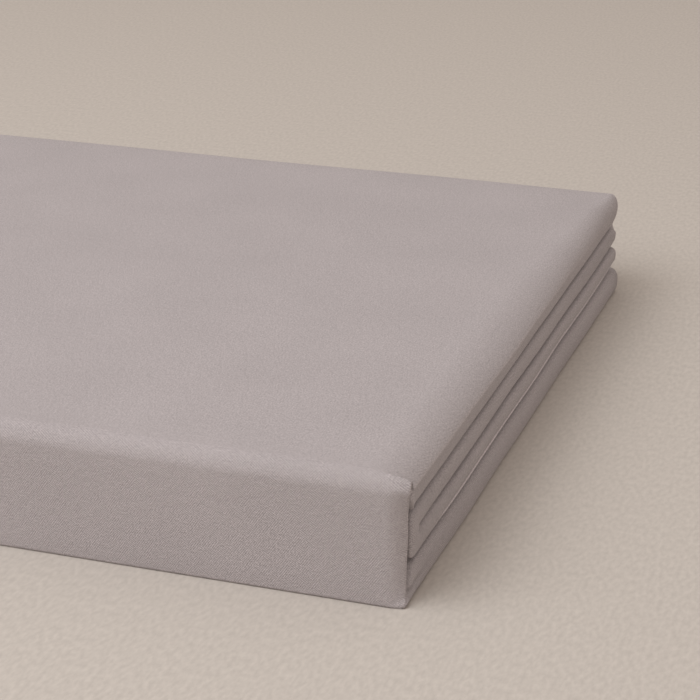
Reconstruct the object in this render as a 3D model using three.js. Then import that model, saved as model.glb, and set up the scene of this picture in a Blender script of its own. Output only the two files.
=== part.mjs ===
// A square flat bed sheet, folded to a packet: doubled, halved three times lengthwise into a
// strip, and the strip halved twice crosswise. It is one piece of cloth, so it is one solid.
// Each layer here is the doubled cloth of the first fold.
//
// Millimetres, +Z up. The packet lies on its underside with the origin in the middle of its
// footprint. +X is the side where the strip's last lengthwise fold shows as four stacked
// bulges, and -Y is the front, where the outer leaf of the strip wraps from the underside
// over to the top.
//
// The folding is worked out in two steps. A section across the strip gives each point of the
// cloth an x and a depth, from 0 on the strip's outer face to 1 on its inner face. A station
// along the strip then says where the outer and the inner face run, and places the section.

import * as THREE from "three";

// Driving sizes of the packet.
const WIDTH = 344;
const DEPTH = 345;
const HEIGHT = 47.8;

// The lengthwise folding.
const LENGTHWISE_HALVINGS = 3;
const CLOTH_SHARE = 0.82; // how much of its place in the stack a layer fills
const LEAF_GAP = 0.5; // between one leaf of the strip and the next

// Heights of the five faces that bound the four leaves, from the underside up. Across most of
// the packet the leaves are equally thick. At the folded side the outer ones are fuller.
const FACES = [
  { middle: 0, sideFront: 0, sideBack: 0 },
  { middle: 12, sideFront: 12.6, sideBack: 13.4 },
  { middle: 24, sideFront: 22.6, sideBack: 23.4 },
  { middle: 36, sideFront: 31.9, sideBack: 33.3 },
  { middle: HEIGHT, sideFront: HEIGHT, sideBack: HEIGHT },
];
const SIDE_BEGINS = 70; // distance from the folded side where the leaves start to differ

// The front wrap: corner radii of its outer and inner face, and how thick it is.
const FRONT_UNDER_RADIUS = 1.5;
const FRONT_TOP_RADIUS = 7;
const FRONT_INNER_RADIUS = 2;
const FRONT_THICKNESS = 11.6;

// Where the crosswise folds and the two ends of the strip lie, from the front.
const BACK_FOLD_REACH = 12; // from the back fold's centre to the back of the packet
const INNER_FOLD_REACH = 10; // the same for the fold inside the front wrap
const INNER_FOLD_CLEARANCE = 1;
const TURN_POWER = 0.4; // of its sine and cosine: 1 is round, and less is boxier
const UNDER_LEAF_END = DEPTH - 5;
const THIRD_LEAF_END = DEPTH - 9;

// The folded side of the strip, row by row along it. "at" is the place along the strip: whole
// numbers are where a leaf ends and a crosswise fold begins. The envelope of the fold leaves
// the outer face "roll" mm inside the packet's side, is widest "crown" mm outside it at the
// depth "crownDepth", and reaches the inner face "tuck" mm inside it.
const FOLDED_SIDE = [
  { at: 0, roll: 2, crown: 2, crownDepth: 0.55, tuck: 4 },
  { at: 0.9, roll: 2, crown: 1, crownDepth: 0.5, tuck: 4 },
  { at: 1, roll: 3, crown: 0.4, crownDepth: 0.4, tuck: 5 },
  { at: 1.5, roll: 6, crown: 1, crownDepth: 0.3, tuck: 6 },
  { at: 2, roll: 11, crown: 0.2, crownDepth: 0.5, tuck: 5 },
  { at: 2.1, roll: 15, crown: 0.2, crownDepth: 0.6, tuck: 5 },
  { at: 2.9, roll: 10, crown: 0.3, crownDepth: 0.58, tuck: 5 },
  { at: 3, roll: 6, crown: 0.4, crownDepth: 0.55, tuck: 5 },
  { at: 3.5, roll: 4.5, crown: -0.3, crownDepth: 0.5, tuck: 5 },
  { at: 4, roll: 4, crown: 0.5, crownDepth: 0.5, tuck: 4 },
  { at: 5, roll: 4, crown: -0.2, crownDepth: 0.5, tuck: 4 },
  { at: 6, roll: 4, crown: 0, crownDepth: 0.45, tuck: 4 },
  { at: 7, roll: 4, crown: 1.3, crownDepth: 0.4, tuck: 4 },
];

// How finely the curves are divided.
const LEAF_STEPS = 3;
const CORNER_STEPS = 4;
const TURN_STEPS = 6;
const SIDE_QUARTER_STEPS = 3;
const EDGE_TURN_STEPS = 4;
const UNDERSIDE_HOLLOW = 0.05; // a shallower hollow in the underside is pressed flat

const CLOTH_COLOUR = 0xb1a7a5;

const HALF_CLOTH = CLOTH_SHARE / 2;
const HALF_GAP = LEAF_GAP / 2;
const QUARTER_TURN = Math.PI / 2;
const TOP_FACE = FACES.length - 1;

const lerp = THREE.MathUtils.lerp;

function angles(steps, sweep) {
  return Array.from({ length: steps + 1 }, (_, i) => (i / steps) * sweep);
}

// Halving a row of panels again and again, the right half over the left each time, leaves one
// stack. This gives the level of each panel in it, counted from the strip's outer face.
function panelLevels(halvings) {
  let stacks = Array.from({ length: 2 ** halvings }, (_, panel) => [panel]);
  while (stacks.length > 1) {
    const last = stacks.length - 1;
    stacks = stacks
      .slice(0, stacks.length / 2)
      .map((stack, i) => [...stack, ...stacks[last - i].toReversed()]);
  }
  const [stack] = stacks;
  return stack.map((_, panel) => stack.length - 1 - stack.indexOf(panel));
}

const LEVELS = panelLevels(LENGTHWISE_HALVINGS);

// The depth in the strip of one face of a panel. The cloth turns over at every fold, so the
// same face looks outwards on one panel and inwards on the next.
function panelDepth(panel, face) {
  const turned = panel % 2 === 0 ? face : -face;
  return (LEVELS[panel] + 0.5 + turned * HALF_CLOTH) / LEVELS.length;
}

// The row of FOLDED_SIDE for any place along the strip.
function sideAt(at) {
  const next = FOLDED_SIDE.findIndex((row) => row.at >= at);
  const b = FOLDED_SIDE[next];
  const a = FOLDED_SIDE[Math.max(next - 1, 0)];
  const share = b.at > a.at ? (at - a.at) / (b.at - a.at) : 0;
  const mixed = (key) => lerp(a[key], b[key], share);
  return {
    roll: mixed("roll"),
    crown: mixed("crown"),
    crownDepth: mixed("crownDepth"),
    tuck: mixed("tuck"),
  };
}

// The envelope of the folded side, from the outer face round the crown to the inner face.
function sideEnvelope({ roll, crown, crownDepth, tuck }) {
  const quarter = angles(SIDE_QUARTER_STEPS, QUARTER_TURN);
  return [
    ...quarter.map((angle) => [
      lerp(-roll, crown, Math.sin(angle)),
      crownDepth * (1 - Math.cos(angle)),
    ]),
    ...quarter.slice(1).map((angle) => [
      lerp(-tuck, crown, Math.cos(angle)),
      lerp(crownDepth, 1, Math.sin(angle)),
    ]),
  ];
}

// A fold at the folded side, from one depth to the other. The folds lie inside each other, so
// each is the envelope drawn together towards a core in the middle of the strip.
function foldedSide(side, thickness, fromDepth, toDepth) {
  const nest = 2 * Math.min(fromDepth, toDepth);
  const coreX = side.crown - thickness / 2;
  const points = sideEnvelope(side).map(([x, depth]) => [
    lerp(x, coreX, nest),
    lerp(depth, 0.5, nest),
  ]);
  return fromDepth < toDepth ? points : points.reverse();
}

// A fold at the other side, a plain half turn. Folds inside each other share a centre.
function plainFold(centreX, thickness, fromDepth, toDepth) {
  const centreDepth = (fromDepth + toDepth) / 2;
  const halfDepth = (toDepth - fromDepth) / 2;
  const radius = Math.abs(halfDepth) * thickness;
  return angles(EDGE_TURN_STEPS, Math.PI).map((angle) => [
    centreX - radius * Math.sin(angle),
    centreDepth - halfDepth * Math.cos(angle),
  ]);
}

// One face of the cloth across the strip, from selvedge to selvedge.
function sectionFace(face, side, thickness) {
  const plainX = -WIDTH + thickness / 4;
  const points = [[plainX, panelDepth(0, face)]];
  LEVELS.forEach((_, panel) => {
    const depth = panelDepth(panel, face);
    points.push([-SIDE_BEGINS, depth]);
    if (panel === LEVELS.length - 1) {
      points.push([plainX, depth]);
      return;
    }
    const nextDepth = panelDepth(panel + 1, face);
    const towardsFoldedSide = panel % 2 === 0;
    points.push(
      ...(towardsFoldedSide
        ? foldedSide(side, thickness, depth, nextDepth)
        : plainFold(plainX, thickness, depth, nextDepth)),
    );
  });
  return points;
}

// The closed outline of the cloth across the strip.
function section(side, thickness) {
  return [
    ...sectionFace(1, side, thickness),
    ...sectionFace(-1, side, thickness).reverse(),
  ];
}

// The height of one of the FACES.
function faceHeight(face, x, y) {
  const { middle, sideFront, sideBack } = FACES[face];
  const atSide = THREE.MathUtils.smoothstep(x, -SIDE_BEGINS, 0);
  const sideHeight = lerp(sideFront, sideBack, THREE.MathUtils.clamp(y / DEPTH, 0, 1));
  return lerp(middle, sideHeight, atSide);
}

// A place across one leaf: straight up or down from its outer to its inner face. Between two
// leaves both faces keep half of the gap to their shared height.
function leafStation(at, y, outerFace, innerFace) {
  const keepOff = (face, other) =>
    face === 0 || face === TOP_FACE ? 0 : Math.sign(other - face) * HALF_GAP;
  return {
    at,
    outer: (x) => [y, faceHeight(outerFace, x, y) + keepOff(outerFace, innerFace)],
    inner: (x) => [y, faceHeight(innerFace, x, y) + keepOff(innerFace, outerFace)],
  };
}

function leaf(at, yFrom, yTo, outerFace, innerFace) {
  return Array.from({ length: LEAF_STEPS + 1 }, (_, i) => {
    const share = i / LEAF_STEPS;
    return leafStation(at + share, lerp(yFrom, yTo, share), outerFace, innerFace);
  });
}

// The two corners of the front wrap, from the underside up to the top.
function frontWrap(at) {
  const innerTurnY = FRONT_THICKNESS + FRONT_INNER_RADIUS;
  const corner = angles(CORNER_STEPS, QUARTER_TURN);
  const cornerShare = 0.5 / QUARTER_TURN;
  const lower = corner.map((angle) => ({
    at: at + angle * cornerShare,
    outer: () => [
      FRONT_UNDER_RADIUS * (1 - Math.sin(angle)),
      FRONT_UNDER_RADIUS * (1 - Math.cos(angle)),
    ],
    inner: (x) => [
      innerTurnY - FRONT_INNER_RADIUS * Math.sin(angle),
      faceHeight(1, x, innerTurnY) - HALF_GAP + FRONT_INNER_RADIUS * (1 - Math.cos(angle)),
    ],
  }));
  const upper = corner.map((angle) => ({
    at: at + 0.5 + angle * cornerShare,
    outer: () => [
      FRONT_TOP_RADIUS * (1 - Math.cos(angle)),
      HEIGHT - FRONT_TOP_RADIUS * (1 - Math.sin(angle)),
    ],
    inner: (x) => [
      innerTurnY - FRONT_INNER_RADIUS * Math.cos(angle),
      faceHeight(3, x, innerTurnY) + HALF_GAP - FRONT_INNER_RADIUS * (1 - Math.sin(angle)),
    ],
  }));
  return [...lower, ...upper];
}

// A half turn between two leaves, downwards round the height of the face between them. The
// strip's tight face lies half a gap from the centre and its wide face "reach" mm from it,
// towards the back or the front.
function turn(at, centreY, reach, faces, wideIsOuter) {
  const [upper, centre, lower] = faces;
  return angles(TURN_STEPS, Math.PI)
    .slice(1, -1)
    .map((angle) => {
      const up = Math.cos(angle);
      const out = Math.sin(angle);
      const far = up > 0 ? upper : lower;
      const farGap = far === TOP_FACE ? 0 : HALF_GAP;
      const tight = (x) => [
        centreY + out * Math.sign(reach) * HALF_GAP,
        faceHeight(centre, x, centreY) + up * HALF_GAP,
      ];
      const wide = (x) => {
        const centreHeight = faceHeight(centre, x, centreY);
        const rise = Math.abs(faceHeight(far, x, centreY) - centreHeight) - farGap;
        const boxyUp = Math.sign(up) * Math.abs(up) ** TURN_POWER;
        return [centreY + out ** TURN_POWER * reach, centreHeight + boxyUp * rise];
      };
      return {
        at: at + angle / Math.PI,
        outer: wideIsOuter ? wide : tight,
        inner: wideIsOuter ? tight : wide,
      };
    });
}

// The strip from its end under the packet, up over the front, back along the top, and
// twice more through the packet to its other end.
function strip() {
  const frontY = FRONT_THICKNESS + FRONT_INNER_RADIUS + INNER_FOLD_REACH;
  const backFoldY = DEPTH - BACK_FOLD_REACH;
  const innerFoldY = FRONT_THICKNESS + INNER_FOLD_CLEARANCE + INNER_FOLD_REACH;
  return [
    ...leaf(0, UNDER_LEAF_END, frontY, 0, 1),
    ...frontWrap(1),
    ...leaf(2, frontY, backFoldY, 4, 3),
    ...turn(3, backFoldY, BACK_FOLD_REACH, [4, 3, 2], true),
    ...leaf(4, backFoldY, innerFoldY, 2, 3),
    ...turn(5, innerFoldY, -INNER_FOLD_REACH, [3, 2, 1], false),
    ...leaf(6, innerFoldY, THIRD_LEAF_END, 2, 1),
  ];
}

// The section placed at a station, as points in space.
function placedSection({ at, outer, inner }) {
  const [outerY, outerZ] = outer(0);
  const [innerY, innerZ] = inner(0);
  const thickness = Math.hypot(innerY - outerY, innerZ - outerZ);
  return section(sideAt(at), thickness).map(([x, depth]) => {
    const [y0, z0] = outer(x);
    const [y1, z1] = inner(x);
    return new THREE.Vector3(x, lerp(y0, y1, depth), lerp(z0, z1, depth));
  });
}

// A closed mesh through a row of rings. Each ring runs along one face of the cloth and back
// along the other, so an end is capped by joining its two halves.
function loft(rings) {
  const count = rings[0].length;
  const positions = rings.flat().flatMap((point) => point.toArray());
  const indices = [];
  const quad = (a, b, c, d) => indices.push(a, b, c, a, c, d);
  for (let ring = 0; ring < rings.length - 1; ring++) {
    for (let i = 0; i < count; i++) {
      const a = ring * count + i;
      const b = ring * count + ((i + 1) % count);
      quad(a, a + count, b + count, b);
    }
  }
  const end = (rings.length - 1) * count;
  for (let i = 0; i < count / 2 - 1; i++) {
    const other = count - 1 - i;
    quad(i, i + 1, other - 1, other);
    quad(end + i, end + other, end + other - 1, end + i + 1);
  }
  const geometry = new THREE.BufferGeometry();
  geometry.setAttribute("position", new THREE.Float32BufferAttribute(positions, 3));
  geometry.setIndex(indices);
  return geometry;
}

// The packet's own weight presses its underside flat.
function flattenUnderside(geometry) {
  const position = geometry.getAttribute("position");
  for (let i = 0; i < position.count; i++) {
    if (position.getZ(i) < UNDERSIDE_HOLLOW) position.setZ(i, 0);
  }
}

function foldedSheet() {
  const geometry = loft(strip().map(placedSection));
  geometry.computeBoundingBox();
  const { min, max } = geometry.boundingBox;
  geometry.translate(-(min.x + max.x) / 2, -(min.y + max.y) / 2, -min.z);
  flattenUnderside(geometry);
  geometry.computeVertexNormals();
  const cloth = new THREE.MeshStandardMaterial({
    color: CLOTH_COLOUR,
    roughness: 0.95,
    metalness: 0,
  });
  const mesh = new THREE.Mesh(geometry, cloth);
  mesh.name = "folded_sheet";
  return mesh;
}

const packet = new THREE.Group();
packet.add(foldedSheet());

export default packet;
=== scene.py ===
"""A large brushed-cotton flat sheet, folded to a packet, on a plain studio floor.

The sheet is made as it is folded. A flat grid of cloth is doubled, halved three times
lengthwise into a strip, and the strip is halved twice crosswise. Across the strip, a section
gives each point of the cloth an x and a depth, from 0 on the strip's outer face to 1 on its
inner face. Along the strip, stations say where those two faces run. Folding is worked out in
millimetres from the packet's front corner on its folded side, and the mesh is in metres.
"""

import math
from typing import NamedTuple

import bmesh
import bpy
from mathutils import Matrix, Vector, noise


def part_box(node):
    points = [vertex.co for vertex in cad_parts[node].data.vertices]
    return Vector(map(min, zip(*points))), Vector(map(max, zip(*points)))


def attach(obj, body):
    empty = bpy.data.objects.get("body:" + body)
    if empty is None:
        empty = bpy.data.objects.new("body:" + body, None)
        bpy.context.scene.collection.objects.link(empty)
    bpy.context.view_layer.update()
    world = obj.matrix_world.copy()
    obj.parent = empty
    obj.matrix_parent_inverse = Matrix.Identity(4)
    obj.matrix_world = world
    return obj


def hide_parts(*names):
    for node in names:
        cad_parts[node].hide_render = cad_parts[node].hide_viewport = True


bl_info = {
    "name": "Folded Flat Sheet",
    "version": (1, 0, 0),
    "blender": (4, 5, 0),
    "location": "View3D > Sidebar > Bedding",
    "description": "Folds a flat sheet into a packet and sets it on a studio floor",
    "category": "Object",
}

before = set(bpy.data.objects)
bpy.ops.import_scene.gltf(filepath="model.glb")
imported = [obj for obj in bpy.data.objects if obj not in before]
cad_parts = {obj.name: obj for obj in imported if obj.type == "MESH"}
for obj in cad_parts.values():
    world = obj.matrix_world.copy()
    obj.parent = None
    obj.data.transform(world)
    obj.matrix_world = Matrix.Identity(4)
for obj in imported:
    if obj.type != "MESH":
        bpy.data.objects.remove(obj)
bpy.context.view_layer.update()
NODE = "folded_sheet"
MM = 0.001
QUARTER_TURN = math.pi / 2

# The packet, in millimetres. The folded side bulges past its own line, so the line lies
# inside the frame's box.
LOW, HIGH = (Vector(corner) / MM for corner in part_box(NODE))
SIDE_BULGE = 1.85
WIDTH = HIGH.x - LOW.x - SIDE_BULGE
DEPTH = HIGH.y - LOW.y
HEIGHT = 47.8

# The lengthwise folding.
LENGTHWISE_HALVINGS = 3
LEAF_GAP = 0.5


class Face(NamedTuple):
    """Height of a face between two leaves, across the packet and at its folded side."""

    middle: float
    side_front: float
    side_back: float


FACES = (
    Face(middle=0.0, side_front=0.0, side_back=0.0),
    Face(middle=12.0, side_front=12.6, side_back=13.4),
    Face(middle=24.0, side_front=22.6, side_back=23.4),
    Face(middle=36.0, side_front=31.9, side_back=33.3),
    Face(middle=HEIGHT, side_front=HEIGHT, side_back=HEIGHT),
)
TOP_FACE = len(FACES) - 1
SIDE_BEGINS = 70.0

# The front wrap, and where the crosswise folds and the ends of the strip lie.
FRONT_UNDER_RADIUS = 0.8
FRONT_TOP_RADIUS = 7.0
FRONT_INNER_RADIUS = 2.0
FRONT_THICKNESS = 11.6
FRONT_INNER_Y = FRONT_THICKNESS + FRONT_INNER_RADIUS
BACK_FOLD_REACH = 12.0
BACK_FOLD_Y = DEPTH - BACK_FOLD_REACH
BACK_FOLD_BOXY = 0.32
INNER_FOLD_BOXY = 0.5
INNER_FOLD_REACH = 10.0
INNER_FOLD_Y = FRONT_THICKNESS + 1.0 + INNER_FOLD_REACH
INNER_FOLD_ADVANCE = 4.0  # how much further forward its centre comes at the folded side
INNER_FOLD_SWELL = 1.2  # and how much fuller it is there
INNER_FOLD_SIDE = -9.0  # from this x on
UNDER_LEAF_END = DEPTH - 5.0
THIRD_LEAF_END = DEPTH - 7.0

# The leaves part a little at the folded side, and so do the strip's two loose ends where
# they lie on each other at the back.
SIDE_GAPE = 1.6
SIDE_GAPE_FROM = -16.0
SIDE_GAPE_TO = -4.0
LOOSE_FACE = 1
LOOSE_END_GAPE = 1.6
LOOSE_FROM = DEPTH - 28.0
LOOSE_TO = DEPTH - 8.0


class Side(NamedTuple):
    """The envelope of the folded side at one place along the strip.

    It leaves the outer face roll mm inside the packet's side, is widest crown mm outside it
    at crown_depth, and reaches the inner face tuck mm inside it. The two halves of the
    envelope, on either side of the crown, are 1 for a crisp ironed crease, 0 for round and
    -1 for a boxy bulge; a crisp outer half also gets a painted highlight along its crease. core
    is how far inside the crown the folds inside it draw together. ridge is 1 where a second,
    thin crease with a painted highlight on its tip runs along the inner half, below a valley,
    and notch is how deep a dent the inner half has.
    """

    at: float
    roll: float
    crown: float
    crown_depth: float
    tuck: float
    outer_half: float
    inner_half: float
    core: float
    ridge: float = 0.0
    notch: float = 0.0


# The columns are those of Side. Whole numbers of "at" are where a leaf ends and a crosswise
# fold begins: the lowest leaf, the front wrap, the top leaf, the back fold, the second leaf,
# the inner fold and the third leaf.
FOLDED_SIDE = (
    Side(0.00, 2.0, 2.3, 0.50, 3, -1.0, -0.5, 6),
    Side(0.50, 2.0, 1.6, 0.50, 3, -1.0, -0.5, 6),
    Side(0.94, 2.0, 0.9, 0.45, 3, -1.0, -0.5, 6),
    Side(1.00, 2.5, 0.6, 0.12, 5, -0.8, -1.0, 9, notch=2.0),
    Side(1.05, 4.0, 0.6, 0.10, 5, 0.2, -1.0, 14, notch=3.6),
    Side(1.20, 6.5, 0.4, 0.28, 9, 0.3, 1.0, 16),
    Side(1.50, 7.0, 0.3, 0.40, 9, 0.3, 1.0, 16),
    Side(1.66, 6.5, 0.9, 0.32, 9, 0.3, 1.0, 16),
    Side(1.71, 6.5, 1.3, 0.18, 5, 0.4, -1.0, 12, notch=3.6),
    Side(1.80, 8.0, 1.2, 0.15, 5, 0.4, -1.0, 11, notch=3.4),
    Side(1.90, 10.0, 0.8, 0.14, 3, 0.4, -1.0, 10, notch=2.4),
    Side(1.97, 15.0, 0.1, 0.50, 2, 0.3, -1.0, 8),
    Side(2.50, 17.0, 0.2, 0.56, 2, 0.3, -1.0, 8),
    Side(2.90, 10.0, 0.3, 0.54, 2, 0.1, -1.0, 8),
    Side(3.00, 4.0, 0.4, 0.52, 2, 0.0, -1.0, 8),
    Side(3.36, 3.0, 0.4, 0.50, 4, -0.2, -0.6, 7),
    Side(3.50, 4.0, -2.0, 0.50, 5, 0.0, 0.0, 6),
    Side(3.64, 4.0, 0.5, 0.50, 4, -0.6, 0.0, 6),
    Side(4.00, 2.0, 0.6, 0.50, 3, -1.0, -0.5, 6),
    Side(4.60, 2.0, 0.1, 0.50, 3, -1.0, -0.5, 6),
    Side(5.00, 2.0, 0.2, 0.50, 4, -1.0, -0.5, 6),
    Side(5.50, 3.0, 0.5, 0.50, 4, -1.0, -1.0, 6),
    Side(6.00, 3.0, 0.2, 0.45, 2, -0.5, -1.0, 6),
    Side(6.04, 3.0, 0.3, 0.38, 2, -0.5, -1.0, 6),
    Side(6.12, 3.0, 0.5, 0.35, 2, -0.5, -1.0, 6, ridge=1.0),
    Side(6.50, 3.0, 0.7, 0.35, 2, -0.5, -1.0, 6, ridge=1.0),
    Side(6.90, 3.0, 1.2, 0.35, 2, -0.5, -1.0, 6, ridge=0.8),
    Side(7.00, 3.0, 1.3, 0.42, 2, -0.5, -1.0, 6),
)
RIDGE_DEPTH = 0.81
RIDGE_SPREAD = 0.025
RIDGE_RISE = 0.4
RIDGE_CROWN_DEPTH = 0.35
# How far in depth the painted highlight on a ridge's tip spreads.
RIDGE_HIGHLIGHT_SPREAD = 0.013
VALLEY_DEPTH = 0.745
VALLEY_SPREAD = 0.032
VALLEY_FALL = 1.3
NOTCH_DEPTH = 0.34
NOTCH_SPREAD = 0.10
BOXY_POWER = 0.25

# How finely the cloth is divided.
OUTER_HALF_STEPS = 12
HIDDEN_FOLD_STEPS = 6
LEAF_STEPS = 26
FRONT_CROWDING = 1.6
LOWER_CORNER_STEPS = 6
UPPER_CORNER_STEPS = 16
FRONT_STEPS = 6
TURN_STEPS = 12
INNER_END_STEPS = 8
RIDGE_STEP = 0.0085
RIDGE_STEPS_BEFORE = 3
RIDGE_STEPS_PAST = 13
CROWN_STEPS = 4
SHOWN_PANEL_X = (-20, -26, -34, -46, -62, -85, -115, -150, -190, -230, -270, -310)
HIDDEN_PANEL_X = (-22, -60, -180)

# How far up the front wrap its lower corner ends and its upper corner begins, and the "at"
# halfway along each leaf.
LOWER_CORNER_TO = 0.2
UPPER_CORNER_FROM = 0.6
LEAF_MIDDLES = (0.5, 2.5, 4.5, 6.5)

# How far the strip's first fold reaches past its two cloths, and how wide the painted
# highlight along a crisp crease is, as a share of the way round the fold.
FIRST_FOLD_REACH = 0.5
CREASE_SPREAD = 0.01

# The waves of hand folding: their height in millimetres, and waves per millimetre. Each kind
# is cut from the noise at a level of its own.
SWELL = 0.35
SWELL_PER_MM = 0.011
SWELL_LEVEL = 3.7
SWAY = 0.4
SWAY_PER_MM_ALONG = 0.02
SWAY_PER_MM_UP = 0.06
SWAY_LEVEL = 9.1
SWAY_BEGINS = 30.0

# However far a step of the cloth turns aside, it counts for this share of its length.
LEAST_STEP = 0.2


class SheetSettings(bpy.types.PropertyGroup):
    """The sheet and its cloth."""

    flat_side: bpy.props.FloatProperty(
        name="Flat side",
        description="Side of the square sheet before it is folded",
        default=2.75,
        unit="LENGTH",
    )
    cloth: bpy.props.FloatProperty(
        name="Cloth",
        description="Thickness of the cloth",
        default=0.0006,
        precision=5,
        unit="LENGTH",
    )
    colour: bpy.props.FloatVectorProperty(
        name="Colour",
        description="Colour of the dyed cotton",
        default=(0.424, 0.386, 0.392),
        size=3,
        min=0.0,
        max=1.0,
        subtype="COLOR",
    )
    rib_pitch: bpy.props.FloatProperty(
        name="Rib pitch",
        description="Distance from one diagonal rib of the twill to the next",
        default=0.00066,
        precision=5,
        unit="LENGTH",
    )


class StageSettings(bpy.types.PropertyGroup):
    """The floor, the light and the camera."""

    floor_colour: bpy.props.FloatVectorProperty(
        name="Floor colour",
        description="Colour of the plain floor",
        default=(0.535, 0.492, 0.45),
        size=3,
        min=0.0,
        max=1.0,
        subtype="COLOR",
    )
    floor_side: bpy.props.FloatProperty(
        name="Floor side",
        description="Side of the square floor",
        default=8.0,
        unit="LENGTH",
    )
    azimuth: bpy.props.FloatProperty(
        name="Azimuth",
        description="Camera's turn from the front towards the folded side",
        default=math.radians(18.366),
        unit="ROTATION",
    )
    elevation: bpy.props.FloatProperty(
        name="Elevation",
        description="Camera's tilt down from level",
        default=math.radians(21.080),
        unit="ROTATION",
    )
    roll: bpy.props.FloatProperty(
        name="Roll",
        description="Camera's turn about its own view",
        default=math.radians(0.2257),
        unit="ROTATION",
    )
    lens: bpy.props.FloatProperty(
        name="Lens",
        description="Focal length on a 36 mm sensor",
        default=106.5,
        unit="CAMERA",
    )
    camera_place: bpy.props.FloatVectorProperty(
        name="Camera place",
        description="Camera's place from the packet's front corner on the folded side",
        default=(0.1754, -0.5863, 0.3289),
        size=3,
        subtype="XYZ",
        unit="LENGTH",
    )


def mix(a, b, share):
    return a + (b - a) * share


def ease(low, high, value):
    """0 below low and 1 above high, with a smooth rise between them."""
    share = min(max((value - low) / (high - low), 0.0), 1.0)
    return share * share * (3 - 2 * share)


def panel_levels(halvings):
    """The level of each panel in the folded strip, counted from its outer face.

    Each halving lays the right half of a row of panels over the left, turned over.
    """
    stacks = [[panel] for panel in range(2**halvings)]
    while len(stacks) > 1:
        half = len(stacks) // 2
        stacks = [stacks[i] + stacks[-1 - i][::-1] for i in range(half)]
    top = len(stacks[0]) - 1
    return [top - stacks[0].index(panel) for panel in range(top + 1)]


LEVELS = panel_levels(LENGTHWISE_HALVINGS)
SHOWN_PANEL = LEVELS.index(0)


def panel_depth(panel, face):
    """The depth in the strip of one of a panel's two cloths.

    The doubled cloth turns over at every fold, so the same one is outside on one panel and
    inside on the next.
    """
    turned = face if panel % 2 == 0 else -face
    return (LEVELS[panel] + 0.5 + turned * 0.25) / len(LEVELS)


def side_at(at):
    """The folded side at any place along the strip."""
    after = next(i for i, row in enumerate(FOLDED_SIDE) if row.at >= at)
    a, b = FOLDED_SIDE[max(after - 1, 0)], FOLDED_SIDE[after]
    share = ease(a.at, b.at, at) if b.at > a.at else 0.0
    return Side(*(mix(p, q, share) for p, q in zip(a, b)))


def half_envelope(share, shape):
    """How far out and how far on towards the crown, for one half of the envelope."""
    angle = share * QUARTER_TURN
    out, on = math.sin(angle), 1 - math.cos(angle)
    if shape < 0:
        return out ** mix(1.0, BOXY_POWER, -shape), on
    return mix(out, share, shape), mix(on, ease(0.0, 1.0, share), shape)


def bump(value, centre, spread):
    return math.exp(-(((value - centre) / spread) ** 2))


def sharp_bump(value, centre, spread):
    return math.exp(-abs(value - centre) / spread)


def envelope(side, t):
    """The outermost cloth of the folded side, from the outer face at 0 to the inner at 1."""
    if t <= 0.5:
        out, on = half_envelope(2 * t, side.outer_half)
        return mix(-side.roll, side.crown, out), side.crown_depth * on
    out, on = half_envelope(2 - 2 * t, side.inner_half)
    if side.inner_half > 0:
        on = mix(on, math.sqrt(2 - 2 * t), side.inner_half)
    x = mix(-side.tuck, side.crown, out)
    depth = mix(1.0, side.crown_depth, on)
    rise = RIDGE_RISE * sharp_bump(depth, RIDGE_DEPTH, RIDGE_SPREAD)
    fall = VALLEY_FALL * bump(depth, VALLEY_DEPTH, VALLEY_SPREAD)
    notch = side.notch * bump(depth, NOTCH_DEPTH, NOTCH_SPREAD)
    return x + side.ridge * (rise - fall) - notch, depth


class Column(NamedTuple):
    """A line of the cloth's grid along the strip: its panel, and its place on it.

    kind is "flat", where place is an x, or "side" or "plain", where place goes from 0 to 1
    round the fold to the next panel.
    """

    kind: str
    panel: int
    place: float


def fold_places(outermost):
    """Places round a fold. The outermost cloth shows, so it has more of them.

    They go from the envelope's inner face to its outer, and lie closest round the ridge.
    """
    if not outermost:
        return [i / HIDDEN_FOLD_STEPS for i in range(HIDDEN_FOLD_STEPS + 1)]
    on = (1 - RIDGE_DEPTH) / (1 - RIDGE_CROWN_DEPTH)
    ridge = math.acos(1 - on) / math.pi
    inner = [ridge * i / INNER_END_STEPS for i in range(INNER_END_STEPS - 1)]
    inner += [ridge + RIDGE_STEP * i for i in range(-RIDGE_STEPS_BEFORE, RIDGE_STEPS_PAST + 1)]
    inner += [mix(inner[-1], 0.5, i / CROWN_STEPS) for i in range(1, CROWN_STEPS)]
    outer = [0.5 + 0.5 * i / OUTER_HALF_STEPS for i in range(OUTER_HALF_STEPS + 1)]
    return inner + outer


def columns():
    """The grid's lines from selvedge to selvedge."""
    lines = []
    for panel in range(len(LEVELS)):
        towards_side = panel % 2 == 0
        xs = SHOWN_PANEL_X if panel == SHOWN_PANEL else HIDDEN_PANEL_X
        xs = sorted(xs, reverse=not towards_side)
        if panel == 0:
            lines.append(Column("plain", 0, 0.0))
        lines += [Column("flat", panel, x) for x in xs]
        if panel == len(LEVELS) - 1:
            lines.append(Column("plain", panel - 1, 1.0))
            continue
        kind = "side" if towards_side else "plain"
        outermost = towards_side and 0 in (LEVELS[panel], LEVELS[panel + 1])
        lines += [Column(kind, panel, place) for place in fold_places(outermost)]
    return lines


def across(column, face, side, thickness):
    """The x and the depth of a column on one of the two cloths."""
    plain_x = -WIDTH + thickness / 4
    panel = column.panel
    depth = panel_depth(panel, face)
    if column.kind == "flat":
        return column.place, depth
    if panel == 0 and column.kind == "plain":
        return plain_x, depth
    onward = panel_depth(panel + 1, face)
    if panel == len(LEVELS) - 2 and column.kind == "plain":
        return plain_x, onward
    if column.kind == "plain":
        angle = column.place * math.pi
        half = (onward - depth) / 2
        x = plain_x - abs(half) * thickness * math.sin(angle)
        return x, depth + half * (1 - math.cos(angle))
    inwards = depth < onward
    x, at_depth = envelope(side, column.place if inwards else 1 - column.place)
    nest = 2 * min(depth, onward)
    return mix(x, side.crown - side.core, nest), mix(at_depth, 0.5, nest)


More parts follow.
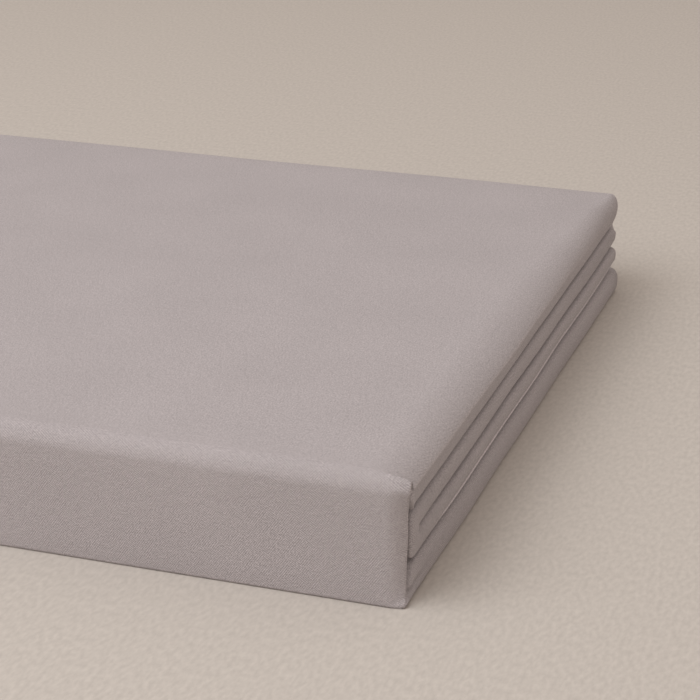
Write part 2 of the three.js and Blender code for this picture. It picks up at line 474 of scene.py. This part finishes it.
def face_height(face, x, y):
    """The height of one of the faces between the leaves."""
    middle, front, back = FACES[face]
    side = mix(front, back, min(max(y / DEPTH, 0.0), 1.0))
    return mix(middle, side, ease(-SIDE_BEGINS, 0.0, x))


def half_gap(face, x, y):
    """Half the gap between the two leaves that meet at a face."""
    if face in (0, TOP_FACE):
        return 0.0
    gap = LEAF_GAP + SIDE_GAPE * ease(SIDE_GAPE_FROM, SIDE_GAPE_TO, x)
    if face == LOOSE_FACE:
        gap += LOOSE_END_GAPE * ease(LOOSE_FROM, LOOSE_TO, y)
    return gap / 2


class Station(NamedTuple):
    """A place along the strip, with a function of x for each of its two faces."""

    at: float
    outer: object
    inner: object


def inner_fold_y(x):
    return INNER_FOLD_Y - INNER_FOLD_ADVANCE * ease(INNER_FOLD_SIDE, 0.0, x)


def inner_fold_reach(x):
    return -INNER_FOLD_REACH - INNER_FOLD_SWELL * ease(INNER_FOLD_SIDE, 0.0, x)


def at_y(y):
    """The same y at every x."""
    return lambda x: y


def leaf(at, outer_ys, inner_ys, outer_face, inner_face, front_first):
    """Stations along one leaf, closer together towards the front."""
    up = 1 if inner_face > outer_face else -1

    def height(face, ys, share, sign):
        def place(x):
            y = mix(ys[0](x), ys[1](x), share)
            return y, face_height(face, x, y) + sign * half_gap(face, x, y)

        return place

    stations = []
    for i in range(LEAF_STEPS + 1):
        near = (i if front_first else LEAF_STEPS - i) / LEAF_STEPS
        share = near**FRONT_CROWDING if front_first else 1 - near**FRONT_CROWDING
        stations.append(
            Station(
                at + share,
                height(outer_face, outer_ys, share, up),
                height(inner_face, inner_ys, share, -up),
            )
        )
    return stations


def front_wrap(at):
    """Stations up the front, round its lower and its upper corner."""

    def inside(face, x, offset, sign):
        height = face_height(face, x, FRONT_INNER_Y) + offset
        return height + sign * half_gap(face, x, FRONT_INNER_Y)

    def lower(angle):
        rise = FRONT_INNER_RADIUS * (1 - math.cos(angle))
        y = FRONT_UNDER_RADIUS * (1 - math.sin(angle))
        z = FRONT_UNDER_RADIUS * (1 - math.cos(angle))
        inner_y = FRONT_INNER_Y - FRONT_INNER_RADIUS * math.sin(angle)
        return Station(
            at + LOWER_CORNER_TO * angle / QUARTER_TURN,
            lambda x: (y, z),
            lambda x: (inner_y, inside(1, x, rise, -1)),
        )

    def upper(angle):
        drop = FRONT_INNER_RADIUS * (1 - math.sin(angle))
        y = FRONT_TOP_RADIUS * (1 - math.cos(angle))
        z = HEIGHT - FRONT_TOP_RADIUS * (1 - math.sin(angle))
        inner_y = FRONT_INNER_Y - FRONT_INNER_RADIUS * math.cos(angle)
        return Station(
            at + UPPER_CORNER_FROM + (1 - UPPER_CORNER_FROM) * angle / QUARTER_TURN,
            lambda x: (y, z),
            lambda x: (inner_y, inside(3, x, -drop, 1)),
        )

    def between(low, high, share):
        def blended(a, b):
            return lambda x: tuple(mix(p, q, share) for p, q in zip(a(x), b(x)))

        return Station(
            mix(low.at, high.at, share),
            blended(low.outer, high.outer),
            blended(low.inner, high.inner),
        )

    def quarter(steps):
        return [QUARTER_TURN * i / steps for i in range(steps + 1)]

    below = [lower(angle) for angle in quarter(LOWER_CORNER_STEPS)]
    above = [upper(angle) for angle in quarter(UPPER_CORNER_STEPS)]
    front = [between(below[-1], above[0], i / FRONT_STEPS) for i in range(1, FRONT_STEPS)]
    return below + front + above


def turn(at, centre_y, reach, faces, wide_is_outer, boxy):
    """Stations down a half turn between two leaves, round the face between them.

    boxy is the power that its sine and cosine are raised to: 1 is round.
    """
    upper, centre, lower = faces

    def station(share):
        angle = math.pi * share
        up, out = math.cos(angle), math.sin(angle)
        far = upper if up > 0 else lower

        def tight(x):
            y = centre_y(x)
            gap = half_gap(centre, x, y)
            height = face_height(centre, x, y) + up * gap
            return y + out * math.copysign(gap, reach(x)), height

        def wide(x):
            y = centre_y(x)
            height = face_height(centre, x, y)
            rise = abs(face_height(far, x, y) - height) - half_gap(far, x, y)
            return y + out**boxy * reach(x), height + math.copysign(abs(up) ** boxy, up) * rise

        outer, inner = (wide, tight) if wide_is_outer else (tight, wide)
        return Station(at + share, outer, inner)

    return [station(i / TURN_STEPS) for i in range(1, TURN_STEPS)]


def strip():
    """Stations from the hemmed end under the packet, through every leaf, to the first fold."""
    back_y = at_y(BACK_FOLD_Y)
    under_end = at_y(UNDER_LEAF_END)
    third_end = at_y(THIRD_LEAF_END)
    wrap_y = at_y(FRONT_INNER_Y)
    return [
        *leaf(0, (under_end, at_y(FRONT_UNDER_RADIUS)), (under_end, wrap_y), 0, 1, False)[:-1],
        *front_wrap(1),
        *leaf(2, (at_y(FRONT_TOP_RADIUS), back_y), (wrap_y, back_y), 4, 3, True)[1:],
        *turn(3, back_y, at_y(BACK_FOLD_REACH), (4, 3, 2), True, BACK_FOLD_BOXY),
        *leaf(4, (back_y, inner_fold_y), (back_y, inner_fold_y), 2, 3, False),
        *turn(5, inner_fold_y, inner_fold_reach, (3, 2, 1), False, INNER_FOLD_BOXY),
        *leaf(6, (inner_fold_y, third_end), (inner_fold_y, third_end), 2, 1, True),
    ]


def uneven(place):
    """The slight waves of a hand-folded packet. The underside stays flat."""
    share = min(max(place.z / HEIGHT, 0.0), 1.0)
    over = (place.x * SWELL_PER_MM, place.y * SWELL_PER_MM, SWELL_LEVEL)
    beside = (place.y * SWAY_PER_MM_ALONG, place.z * SWAY_PER_MM_UP, SWAY_LEVEL)
    swell = SWELL * share * noise.noise(Vector(over))
    sway = SWAY * ease(-SWAY_BEGINS, 0.0, place.x) * noise.noise(Vector(beside))
    return place + Vector((sway, 0.0, swell))


def folded_rows():
    """Rows of folded places of one cloth up the strip and the other back down it."""
    lines = columns()
    stations = strip()

    def row(station, face):
        side = side_at(station.at)
        outer_y, outer_z = station.outer(0.0)
        inner_y, inner_z = station.inner(0.0)
        thickness = math.hypot(inner_y - outer_y, inner_z - outer_z)
        places = []
        for column in lines:
            x, depth = across(column, face, side, thickness)
            outer, inner = station.outer(x), station.inner(x)
            y, z = (mix(p, q, depth) for p, q in zip(outer, inner))
            places.append(uneven(Vector((x, y, z))))
        return places

    going = [row(station, 1) for station in stations]
    coming = [row(station, -1) for station in reversed(stations)]
    reach = Vector((0.0, FIRST_FOLD_REACH, 0.0))
    first_fold = [(a + b) / 2 + reach for a, b in zip(going[-1], coming[0])]
    return [*going, first_fold, *coming]


def painted_highlight_rows():
    """How strong the painted highlight is at each place of folded_rows(), from 0 to 1: on a
    crisp crease's edge and on a ridge's tip, and none elsewhere.
    """
    lines = columns()

    def painted_highlight(column, side):
        if column.kind != "side" or 0 not in LEVELS[column.panel : column.panel + 2]:
            return 0.0
        inwards = panel_depth(column.panel, 1) < panel_depth(column.panel + 1, 1)
        t = column.place if inwards else 1 - column.place
        ridge = side.ridge * bump(envelope(side, t)[1], RIDGE_DEPTH, RIDGE_HIGHLIGHT_SPREAD)
        crease = max(side.outer_half, 0.0) * bump(t, 0.5, CREASE_SPREAD)
        return max(ridge if t > 0.5 else 0.0, crease)

    going = [[painted_highlight(column, side_at(station.at)) for column in lines] for station in strip()]
    return [*going, [0.0] * len(lines), *reversed(going)]


def lengths_along(places, zero):
    """Metres along a line of places, counted from one of them."""
    lengths = [0.0]
    for a, b in zip(places, places[1:]):
        lengths.append(lengths[-1] + (b - a).length * MM)
    return [length - lengths[zero] for length in lengths]


def lengths_up(rows, wide):
    """Metres up each column, without what its steps have in common with the width."""
    lines = []
    for column in range(len(rows[0])):
        lengths = [0.0]
        for row in range(1, len(rows)):
            step = (rows[row][column] - rows[row - 1][column]).length * MM
            aside = wide[row][column] - wide[row - 1][column]
            onward = math.sqrt(max(step**2 - aside**2, (LEAST_STEP * step) ** 2))
            lengths.append(lengths[-1] + onward)
        lines.append(lengths)
    return lines


def agreed_lengths(lines, agreed):
    """The lines of lengths, stretched a little so that they agree at some of the rows."""
    common = {row: sum(line[row] for line in lines) / len(lines) for row in agreed}
    stretched = []
    for line in lines:
        lengths = []
        for a, b in zip(agreed, agreed[1:]):
            stretch = (common[b] - common[a]) / (line[b] - line[a])
            lengths += [common[a] + (length - line[a]) * stretch for length in line[a:b]]
        stretched.append([*lengths, common[agreed[-1]]])
    return stretched


def agreed_rows():
    """The rows of folded_rows() at both ends, at the first fold and halfway along each leaf."""
    stations = strip()
    count = len(stations)
    halfway = [
        next(i for i, station in enumerate(stations) if station.at >= at)
        for at in LEAF_MIDDLES
    ]
    return [0, *halfway, count, *(2 * count - i for i in reversed(halfway)), 2 * count]


def cloth_material(settings):
    """Brushed cotton twill: diagonal ribs under a soft nap, faintly mottled, with a painted
    highlight on crisp creases and ridge tips.
    """
    material = bpy.data.materials.new("Brushed cotton twill")
    material.use_nodes = True
    nodes, links = material.node_tree.nodes, material.node_tree.links
    shader = nodes["Principled BSDF"]
    shader.inputs["Sheen Weight"].default_value = 0.08
    shader.inputs["Sheen Roughness"].default_value = 0.5
    shader.inputs["Specular IOR Level"].default_value = 0.25

    flat = nodes.new("ShaderNodeUVMap")
    flat.uv_map = "Flat cloth"
    metres = nodes.new("ShaderNodeMapping")
    metres.inputs["Scale"].default_value = (settings.flat_side,) * 3
    links.new(flat.outputs["UV"], metres.inputs["Vector"])

    def noise_of(scale, detail, stretch=(1.0, 1.0, 1.0)):
        mapping = nodes.new("ShaderNodeMapping")
        mapping.inputs["Scale"].default_value = stretch
        links.new(metres.outputs["Vector"], mapping.inputs["Vector"])
        texture = nodes.new("ShaderNodeTexNoise")
        texture.inputs["Scale"].default_value = scale
        texture.inputs["Detail"].default_value = detail
        links.new(mapping.outputs["Vector"], texture.inputs["Vector"])
        return texture.outputs["Fac"]

    def ranged(value, low, high, start=0.3, end=0.7):
        rescale = nodes.new("ShaderNodeMapRange")
        for name, number in (
            ("From Min", start),
            ("From Max", end),
            ("To Min", low),
            ("To Max", high),
        ):
            rescale.inputs[name].default_value = number
        links.new(value, rescale.inputs["Value"])
        return rescale.outputs["Result"]

    def combined(operation, a, b):
        sum_node = nodes.new("ShaderNodeMath")
        sum_node.operation = operation
        links.new(a, sum_node.inputs[0])
        links.new(b, sum_node.inputs[1])
        return sum_node.outputs["Value"]

    def ribs_at(steepness):
        """Diagonal ribs, at an angle to the strip's width.

        A band of the wave repeats every 2 pi / 10 at a scale of 1, and its diagonal is the
        sum of the two coordinates.
        """
        mapping = nodes.new("ShaderNodeMapping")
        mapping.inputs["Scale"].default_value = (math.sin(steepness), math.cos(steepness), 1.0)
        links.new(metres.outputs["Vector"], mapping.inputs["Vector"])
        wave = nodes.new("ShaderNodeTexWave")
        wave.bands_direction = "DIAGONAL"
        wave.inputs["Scale"].default_value = 0.2 * math.pi / settings.rib_pitch
        wave.inputs["Distortion"].default_value = 1.6
        wave.inputs["Detail"].default_value = 2.0
        wave.inputs["Detail Scale"].default_value = 0.7
        links.new(mapping.outputs["Vector"], wave.inputs["Vector"])
        return wave.outputs["Fac"]

    yarn = noise_of(1500.0, 1.0)
    nap = noise_of(420.0, 3.0)
    patches = noise_of(300.0, 2.0)
    mottle = noise_of(26.0, 3.0)
    # The attribute is a painted highlight, on crisp creases and ridge tips where light catches
    # the cloth.
    painted_highlight = nodes.new("ShaderNodeAttribute")
    painted_highlight.attribute_name = "Painted highlight"

    weave = nodes.new("ShaderNodeMix")
    links.new(ranged(patches, 0.1, 0.9, 0.4, 0.6), weave.inputs["Factor"])
    links.new(ribs_at(math.radians(54.0)), weave.inputs["A"])
    links.new(ribs_at(math.radians(-33.0)), weave.inputs["B"])
    weave_height = weave.outputs["Result"]

    threads = combined(
        "MULTIPLY",
        ranged(weave_height, 0.78, 1.18, 0.0, 1.0),
        ranged(yarn, 0.82, 1.18),
    )
    # Nap and mottle vary the cloth's own tone; the attribute brightens the colour up to 1.6
    # times as a painted highlight.
    nap_and_painted_highlight = combined(
        "MULTIPLY",
        combined("MULTIPLY", ranged(nap, 0.955, 1.045), ranged(mottle, 0.975, 1.025)),
        ranged(painted_highlight.outputs["Fac"], 1.0, 1.6, 0.0, 1.0),
    )
    shade = combined("MULTIPLY", threads, nap_and_painted_highlight)
    colour = nodes.new("ShaderNodeVectorMath")
    colour.operation = "SCALE"
    colour.inputs[0].default_value = settings.colour
    links.new(shade, colour.inputs["Scale"])
    links.new(colour.outputs["Vector"], shader.inputs["Base Color"])
    links.new(ranged(nap, 0.86, 1.0), shader.inputs["Roughness"])

    bump = nodes.new("ShaderNodeBump")
    bump.inputs["Strength"].default_value = 0.6
    bump.inputs["Distance"].default_value = 0.00025
    height = combined("ADD", ranged(weave_height, 0.0, 0.8, 0.0, 1.0), yarn)
    links.new(combined("ADD", height, nap), bump.inputs["Height"])
    links.new(bump.outputs["Normal"], shader.inputs["Normal"])
    return material


def floor_material(settings):
    """A plain pale floor with a fine grain."""
    material = bpy.data.materials.new("Pale floor")
    material.use_nodes = True
    nodes, links = material.node_tree.nodes, material.node_tree.links
    shader = nodes["Principled BSDF"]
    shader.inputs["Specular IOR Level"].default_value = 0.15
    shader.inputs["Roughness"].default_value = 0.9
    place = nodes.new("ShaderNodeTexCoord")
    stretch = nodes.new("ShaderNodeMapping")
    stretch.inputs["Scale"].default_value = (1.0, 0.45, 1.0)
    links.new(place.outputs["Object"], stretch.inputs["Vector"])
    grain = nodes.new("ShaderNodeTexNoise")
    grain.inputs["Scale"].default_value = 600.0
    grain.inputs["Detail"].default_value = 3.0
    links.new(stretch.outputs["Vector"], grain.inputs["Vector"])
    shade = nodes.new("ShaderNodeMapRange")
    shade.inputs["From Min"].default_value = 0.3
    shade.inputs["From Max"].default_value = 0.7
    shade.inputs["To Min"].default_value = 0.93
    shade.inputs["To Max"].default_value = 1.07
    links.new(grain.outputs["Fac"], shade.inputs["Value"])
    colour = nodes.new("ShaderNodeVectorMath")
    colour.operation = "SCALE"
    colour.inputs[0].default_value = settings.floor_colour
    links.new(shade.outputs["Result"], colour.inputs["Scale"])
    links.new(colour.outputs["Vector"], shader.inputs["Base Color"])
    return material


def new_piece(name, bm, material):
    mesh = bpy.data.meshes.new(name)
    bm.to_mesh(mesh)
    bm.free()
    mesh.materials.append(material)
    piece = bpy.data.objects.new(name, mesh)
    bpy.context.scene.collection.objects.link(piece)
    return piece


class OBJECT_OT_fold_sheet(bpy.types.Operator):
    """Fold the flat sheet into its packet"""

    bl_idname = "object.fold_sheet"
    bl_label = "Fold Sheet"

    def execute(self, context):
        settings = context.scene.sheet_settings
        rows = folded_rows()
        across_count, along_count = len(rows[0]), len(rows)
        lines = columns()
        middle = lines.index(Column("flat", SHOWN_PANEL, min(SHOWN_PANEL_X)))
        wide = [lengths_along(row, middle) for row in rows]
        along = agreed_lengths(lengths_up(rows, wide), agreed_rows())
        # The painted highlight along crisp creases and ridge tips, for each place of the cloth.
        painted_highlight = painted_highlight_rows()

        bm = bmesh.new()
        uv_layer = bm.loops.layers.uv.new("Flat cloth")
        # This vertex attribute carries the painted highlight, on crisp creases and ridge tips,
        # to the cloth's colour.
        painted_highlight_layer = bm.verts.layers.float.new("Painted highlight")
        bmesh.ops.create_grid(
            bm,
            x_segments=across_count - 1,
            y_segments=along_count - 1,
            size=1.0,
        )
        if len(bm.verts) != across_count * along_count:
            raise RuntimeError("The grid of cloth doesn't match its folded rows")
        corner = Vector((HIGH.x - SIDE_BULGE, -DEPTH / 2, 0.0))
        flat = {}
        for vert in bm.verts:
            column = round((vert.co.x + 1) / 2 * (across_count - 1))
            row = round((vert.co.y + 1) / 2 * (along_count - 1))
            flat[vert] = (wide[row][column], along[column][row])
            vert[painted_highlight_layer] = painted_highlight[row][column]
            vert.co = (rows[row][column] + corner) * MM
        for bm_face in bm.faces:
            bm_face.smooth = True
            for loop in bm_face.loops:
                loop[uv_layer].uv = Vector(flat[loop.vert]) / settings.flat_side
        lowest = min(vert.co.z for vert in bm.verts)
        bmesh.ops.translate(bm, verts=bm.verts, vec=(0, 0, settings.cloth / 2 - lowest))

        sheet = new_piece("Folded_flat_sheet", bm, cloth_material(settings))
        cloth = sheet.modifiers.new("Cloth thickness", "SOLIDIFY")
        cloth.thickness = settings.cloth
        cloth.offset = 0.0
        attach(sheet, "root")
        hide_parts(NODE)
        return {"FINISHED"}


class OBJECT_OT_sheet_stage(bpy.types.Operator):
    """Set up the floor, the light and the camera"""

    bl_idname = "object.sheet_stage"
    bl_label = "Set Stage"

    def floor(self, settings):
        bm = bmesh.new()
        bmesh.ops.create_grid(
            bm, x_segments=1, y_segments=1, size=settings.floor_side / 2
        )
        floor = new_piece("Floor", bm, floor_material(settings))

    def light(self, context):
        world = bpy.data.worlds.new("Soft room light")
        world.use_nodes = True
        background = world.node_tree.nodes["Background"]
        background.inputs["Color"].default_value = (1.0, 0.9, 0.83, 1.0)
        background.inputs["Strength"].default_value = 0.635
        context.scene.world = world
        lamp = bpy.data.lights.new("Softbox", "AREA")
        lamp.shape = "SQUARE"
        lamp.size = 1.6
        lamp.energy = 23.7
        lamp.color = (0.96, 0.98, 1.0)
        softbox = bpy.data.objects.new("Softbox", lamp)
        place = Vector((-0.65, -0.97, 1.46))
        softbox.location = place
        softbox.rotation_euler = place.to_track_quat("Z", "Y").to_euler()
        context.scene.collection.objects.link(softbox)

    def camera(self, context, settings):
        azimuth, elevation = settings.azimuth, settings.elevation
        back = Vector(
            (
                math.sin(azimuth) * math.cos(elevation),
                -math.cos(azimuth) * math.cos(elevation),
                math.sin(elevation),
            )
        )
        right = Vector((0, 0, 1)).cross(back).normalized()
        up = back.cross(right)
        turn_about = Matrix.Rotation(settings.roll, 3, back)
        axes = Matrix((right, up, back)).transposed()
        data = bpy.data.cameras.new("Camera")
        data.sensor_width = 36.0
        data.lens = settings.lens
        camera = bpy.data.objects.new("Camera", data)
        corner = Vector((HIGH.x - SIDE_BULGE, -DEPTH / 2, 0.0)) * MM
        camera.matrix_world = Matrix.Translation(
            corner + Vector(settings.camera_place)
        ) @ (turn_about @ axes).to_4x4()
        context.scene.collection.objects.link(camera)
        context.scene.camera = camera

    def execute(self, context):
        settings = context.scene.stage_settings
        self.floor(settings)
        self.light(context)
        self.camera(context, settings)
        context.scene.view_settings.view_transform = "Standard"
        return {"FINISHED"}


class VIEW3D_PT_folded_sheet(bpy.types.Panel):
    """Lists the steps and the sizes"""

    bl_idname = "VIEW3D_PT_folded_sheet"
    bl_label = "Folded Sheet"
    bl_space_type = "VIEW_3D"
    bl_region_type = "UI"
    bl_category = "Bedding"

    def draw(self, context):
        layout = self.layout
        sheet = context.scene.sheet_settings
        for name in ("flat_side", "cloth", "colour", "rib_pitch"):
            layout.prop(sheet, name)
        layout.operator(OBJECT_OT_fold_sheet.bl_idname)
        stage = context.scene.stage_settings
        for name in ("floor_colour", "floor_side", "azimuth", "elevation", "roll", "lens"):
            layout.prop(stage, name)
        layout.operator(OBJECT_OT_sheet_stage.bl_idname)


CLASSES = (
    SheetSettings,
    StageSettings,
    OBJECT_OT_fold_sheet,
    OBJECT_OT_sheet_stage,
    VIEW3D_PT_folded_sheet,
)


def register():
    for cls in CLASSES:
        bpy.utils.register_class(cls)
    bpy.types.Scene.sheet_settings = bpy.props.PointerProperty(type=SheetSettings)
    bpy.types.Scene.stage_settings = bpy.props.PointerProperty(type=StageSettings)


def unregister():
    del bpy.types.Scene.stage_settings
    del bpy.types.Scene.sheet_settings
    for cls in reversed(CLASSES):
        bpy.utils.unregister_class(cls)


def main():
    register()
    bpy.ops.object.sheet_stage()
    bpy.ops.object.fold_sheet()


if __name__ == "__main__":
    main()
